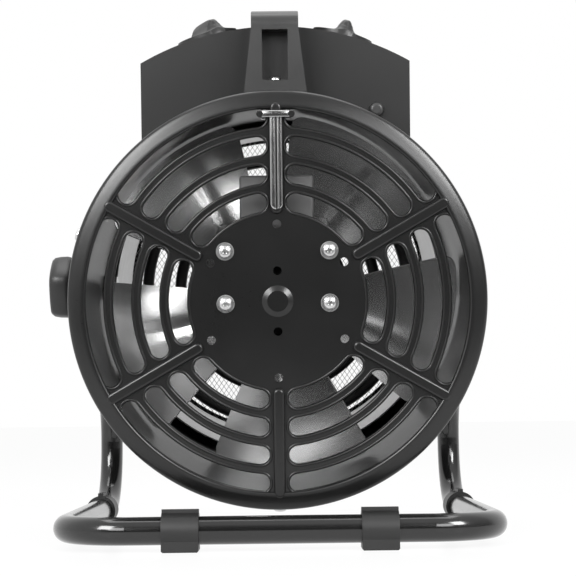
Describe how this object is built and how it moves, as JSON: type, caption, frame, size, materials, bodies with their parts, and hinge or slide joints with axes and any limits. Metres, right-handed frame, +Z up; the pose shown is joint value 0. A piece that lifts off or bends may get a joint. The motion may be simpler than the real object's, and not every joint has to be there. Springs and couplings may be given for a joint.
{
  "type": "drum fan heater",
  "caption": "Portable electric drum fan heater: a tilting sheet-steel drum with a slotted intake grille, axial fan and heating rings, top controls and carry handle, on a bent tube stand.",
  "frame": {"origin": "centre of the footprint of the part's bounding box, on the floor", "axes": "+X to the right as seen from the intake grille, +Y from the intake grille towards the outlet, +Z up"},
  "size_m": [0.3394, 0.3476, 0.4024],
  "materials": {
    "satin_black_sheet": "satin",
    "gloss_black_tube": "gloss",
    "black_moulding": "fine texture",
    "black_knob": "satin",
    "reset_cap": "satin",
    "zinc_plate": "zinc plated",
    "blade_aluminium": "polished",
    "turned_steel": "turned",
    "motor_casting": "satin",
    "stator_core": "stacked sheets",
    "grey_case": "matt",
    "galvanised_sheet": "galvanised",
    "element_sheath": "oxidised"
  },
  "bodies": {
    "stand": {"stand_tube": "gloss_black_tube", "tube_plug_left": "black_moulding", "tube_plug_right": "black_moulding", "foot_clip_front_left": "black_moulding", "foot_clip_front_right": "black_moulding", "foot_clip_rear_left": "black_moulding", "foot_clip_rear_right": "black_moulding"},
    "drum": {"drum_shell": "satin_black_sheet", "pivot_boss_left": "satin_black_sheet", "pivot_boss_right": "satin_black_sheet", "pivot_nut_left": "zinc_plate", "pivot_nut_right": "zinc_plate", "pivot_bolt_right": "zinc_plate", "rear_grille": "satin_black_sheet", "rim_screws": "zinc_plate", "motor_washers": "zinc_plate", "motor_bolts": "zinc_plate", "motor_bushes": "turned_steel", "motor_can": "motor_casting", "motor_cover": "motor_casting", "bearing_rear": "turned_steel", "bearing_front": "turned_steel", "stator": "stator_core", "capacitor_box": "grey_case", "heat_shield": "galvanised_sheet", "shield_spacers": "galvanised_sheet", "element_bracket": "galvanised_sheet", "heating_element_inner": "element_sheath", "heating_element_middle": "element_sheath", "heating_element_outer": "element_sheath", "outlet_guard": "satin_black_sheet", "control_box": "satin_black_sheet", "cable_gland": "black_moulding", "thermostat_body": "black_moulding", "switch_body": "black_moulding", "thermal_cutout": "black_moulding", "terminal_block": "black_moulding", "handle": "black_moulding", "handle_screws": "zinc_plate", "handle_nuts": "zinc_plate"},
    "clamp_knob": {"clamp_knob": "black_knob", "clamp_stud": "zinc_plate"},
    "thermostat_knob": {"thermostat_knob": "black_knob", "thermostat_shaft": "zinc_plate"},
    "switch_knob": {"switch_knob": "black_knob", "switch_shaft": "zinc_plate"},
    "reset_button": {"reset_button": "reset_cap"},
    "fan": {"impeller": "blade_aluminium", "fan_hub": "turned_steel", "motor_shaft": "turned_steel", "rotor": "turned_steel"}
  },
  "joints": [
    {"name": "drum_tilt", "type": "hinge", "parent": "stand", "child": "drum", "pos_m": [0.0073, -0.0007, 0.192], "axis": [1, 0, 0], "range_deg": [-20, 12]},
    {"name": "clamp_knob_turn", "type": "hinge", "parent": "drum", "child": "clamp_knob", "pos_m": [-0.1515, -0.0007, 0.192], "axis": [-1, 0, 0], "range_deg": [0, 350]},
    {"name": "thermostat_turn", "type": "hinge", "parent": "drum", "child": "thermostat_knob", "pos_m": [-0.0416, -0.08451, 0.36582], "axis": [-0.2521, -0.1179, 0.9605], "range_deg": [-120, 150]},
    {"name": "switch_turn", "type": "hinge", "parent": "drum", "child": "switch_knob", "pos_m": [0.0562, -0.08451, 0.36582], "axis": [0.2521, -0.1179, 0.9605], "range_deg": [0, 135]},
    {"name": "reset_press", "type": "slide", "parent": "drum", "child": "reset_button", "axis": [0, 0.9925, 0.1219], "range_m": [0, 0.002], "stiffness_N_per_m": 900},
    {"name": "fan_spin", "type": "hinge", "parent": "drum", "child": "fan", "pos_m": [0.0073, -0.05567, 0.18021], "axis": [0, 0.9925, 0.1219], "continuous": true}
  ]
}
